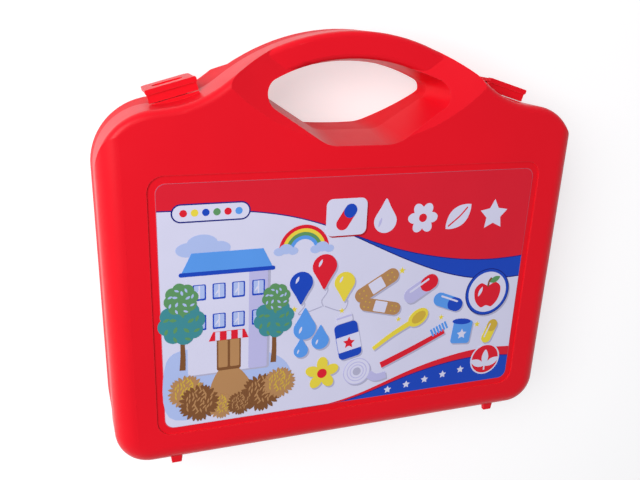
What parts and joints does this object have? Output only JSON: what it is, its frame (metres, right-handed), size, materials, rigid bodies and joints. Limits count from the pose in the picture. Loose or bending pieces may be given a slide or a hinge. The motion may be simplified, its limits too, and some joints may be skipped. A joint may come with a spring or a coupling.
{
  "type": "toy doctor case",
  "caption": "Red moulded toy doctor case with a handle, hinged lid, shoulder latches, label, and an inner tray of toy instruments.",
  "frame": {"origin": "centre of the bounding box, on the flat back face that the case lies on", "axes": "+X to the right seen from the front, +Y up the case towards the handle, +Z out of the front face"},
  "size_m": [0.2874, 0.2486, 0.062],
  "materials": {
    "red_shell": "glossy red polypropylene, fine moulded grain",
    "red_latch": "glossy red polypropylene",
    "pin_steel": "drawn steel wire",
    "label_print": "printed label under clear gloss film",
    "tray_white": "white formed sheet, satin",
    "clear_blue": "translucent blue",
    "toy_red": "glossy red",
    "toy_white": "glossy white",
    "toy_blue": "glossy blue",
    "toy_yellow": "glossy yellow",
    "dial_print": "printed dial",
    "clear_lens": "clear styrene lens",
    "paper_sheet": "plain paper",
    "window_grey": "grey display window",
    "mirror_foil": "mirror foil"
  },
  "bodies": {
    "base": {"base_shell": "red_shell", "left_hinge_pin": "pin_steel", "right_hinge_pin": "pin_steel", "left_latch_pin": "pin_steel", "right_latch_pin": "pin_steel", "instrument_tray": "tray_white", "syringe_barrel": "clear_blue", "pill_jar": "toy_white", "scissor_lower_half": "toy_red", "scissor_rivet": "toy_blue", "gauge_case": "toy_yellow", "gauge_dial": "dial_print", "gauge_lens": "clear_lens", "pad_board": "toy_yellow", "pad_sheet": "paper_sheet", "pad_clip": "toy_blue", "oval_dish": "toy_white", "thermometer_body": "toy_yellow", "thermometer_window": "window_grey", "hammer_head": "toy_white", "hammer_handle": "toy_blue", "mirror_handle": "toy_blue", "mirror_glass": "mirror_foil"},
    "lid": {"front_lid": "red_shell", "front_label": "label_print"},
    "left_latch": {"left_latch": "red_latch"},
    "right_latch": {"right_latch": "red_latch"},
    "plunger": {"syringe_plunger": "toy_red"},
    "jar_cap": {"pill_jar_cap": "toy_blue"},
    "scissor_half": {"scissor_upper_half": "toy_red"},
    "pointer": {"gauge_pointer": "toy_red"}
  },
  "joints": [
    {"name": "lid_hinge", "type": "hinge", "parent": "base", "child": "lid", "pos_m": [0, -0.1222, 0.034], "axis": [1, 0, 0], "range_deg": [0, 172]},
    {"name": "left_latch_hinge", "type": "hinge", "parent": "base", "child": "left_latch", "pos_m": [-0.10161, 0.0897, 0.0225], "axis": [-0.9613, -0.2756, 0], "range_deg": [0, 90]},
    {"name": "right_latch_hinge", "type": "hinge", "parent": "base", "child": "right_latch", "pos_m": [0.10161, 0.0897, 0.0225], "axis": [-0.9613, 0.2756, 0], "range_deg": [0, 90]},
    {"name": "plunger_slide", "type": "slide", "parent": "base", "child": "plunger", "axis": [1, 0, 0], "range_m": [0, 0.025]},
    {"name": "jar_cap_lift", "type": "slide", "parent": "base", "child": "jar_cap", "axis": [0, 0, 1], "range_m": [0, 0.01]},
    {"name": "scissor_pivot", "type": "hinge", "parent": "base", "child": "scissor_half", "pos_m": [-0.075, -0.02295, 0.032], "axis": [0, 0, -1], "range_deg": [0, 24]},
    {"name": "pointer_turn", "type": "hinge", "parent": "base", "child": "pointer", "pos_m": [0.01, -0.02495, 0.032], "axis": [0, 0, 1], "range_deg": [-130, 130]}
  ]
}
